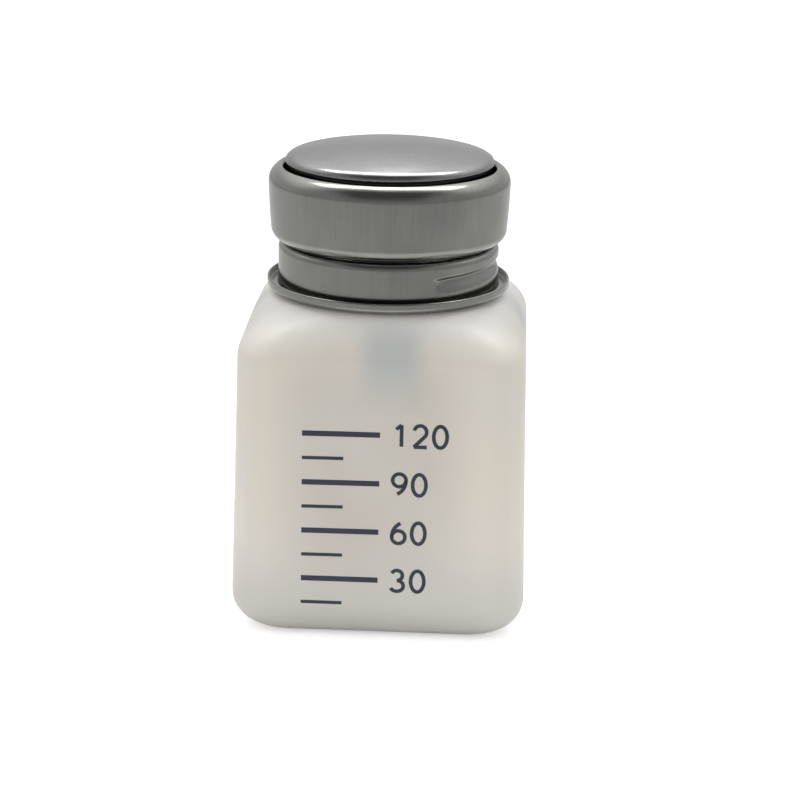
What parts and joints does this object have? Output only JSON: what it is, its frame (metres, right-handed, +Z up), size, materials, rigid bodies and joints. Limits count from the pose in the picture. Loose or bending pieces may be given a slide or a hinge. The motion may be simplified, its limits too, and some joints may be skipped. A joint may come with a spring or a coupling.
{
  "type": "press-down liquid dispenser bottle",
  "caption": "Square milky plastic bottle with a screw-on satin steel pump head: lift the domed flip lid and press the dish under it to raise liquid.",
  "frame": {"origin": "middle of the bottle's base, on the surface it stands on", "axes": "+Z up along the bottle's axis, the front face towards -Y, the lid's hinge towards +Y, +X to the right seen from the front"},
  "size_m": [0.058, 0.058, 0.0943],
  "materials": {
    "bottle_plastic": "milky blow-moulded polyethylene, satin",
    "satin_steel": "drawn stainless steel, satin with fine turning lines",
    "lid_steel": "pressed stainless steel, soft satin",
    "bright_steel": "bright stainless steel",
    "brass": "machined brass",
    "white_plastic": "white moulded polypropylene",
    "pale_rubber": "pale solvent-resistant rubber",
    "black_rubber": "black solvent-resistant rubber"
  },
  "bodies": {
    "bottle_body": {"bottle": "bottle_plastic"},
    "gasket_body": {"neck_gasket": "pale_rubber"},
    "pump_head": {"neck_shell": "satin_steel", "upper_cup": "satin_steel", "pump_housing": "white_plastic", "deck_seal": "black_rubber", "clamp_washer": "bright_steel", "clamp_nut": "brass", "stem_guide": "white_plastic", "stem_o_ring": "black_rubber", "dip_tube": "white_plastic", "return_spring": "bright_steel", "hinge_bracket": "satin_steel", "hinge_pin": "bright_steel"},
    "plunger": {"piston_seal": "pale_rubber", "piston_stem": "bright_steel", "dish_nut": "brass", "press_dish": "satin_steel", "dish_nozzle": "brass"},
    "inlet_valve": {"inlet_ball": "bright_steel"},
    "outlet_valve": {"outlet_ball": "bright_steel"},
    "lid_body": {"lid": "lid_steel", "lid_liner": "white_plastic"}
  },
  "joints": [
    {"name": "head_rise", "type": "slide", "parent": "bottle_body", "child": "gasket_body", "axis": [0, 0, 1], "range_m": [0, 0.00165]},
    {"name": "head_turn", "type": "hinge", "parent": "gasket_body", "child": "pump_head", "pos_m": [0, 0, 0.0719], "axis": [0, 0, 1], "range_deg": [0, 140]},
    {"name": "pump_press", "type": "slide", "parent": "pump_head", "child": "plunger", "axis": [0, 0, -1], "range_m": [0, 0.005], "stiffness_N_per_m": 300, "springref_m": -0.002, "deforming": ["return_spring"]},
    {"name": "lid_hinge", "type": "hinge", "parent": "pump_head", "child": "lid_body", "pos_m": [0, 0.0263, 0.0879], "axis": [-1, 0, 0], "range_deg": [0, 110]},
    {"name": "inlet_ball_lift", "type": "slide", "parent": "pump_head", "child": "inlet_valve", "axis": [0, 0, 1], "range_m": [0, 0.0009]},
    {"name": "outlet_ball_lift", "type": "slide", "parent": "plunger", "child": "outlet_valve", "axis": [0, 0, 1], "range_m": [0, 0.0008]}
  ],
  "couplings": [
    {"joint": "head_turn", "follows": "head_rise", "rad_per_m": 1484.3}
  ]
}
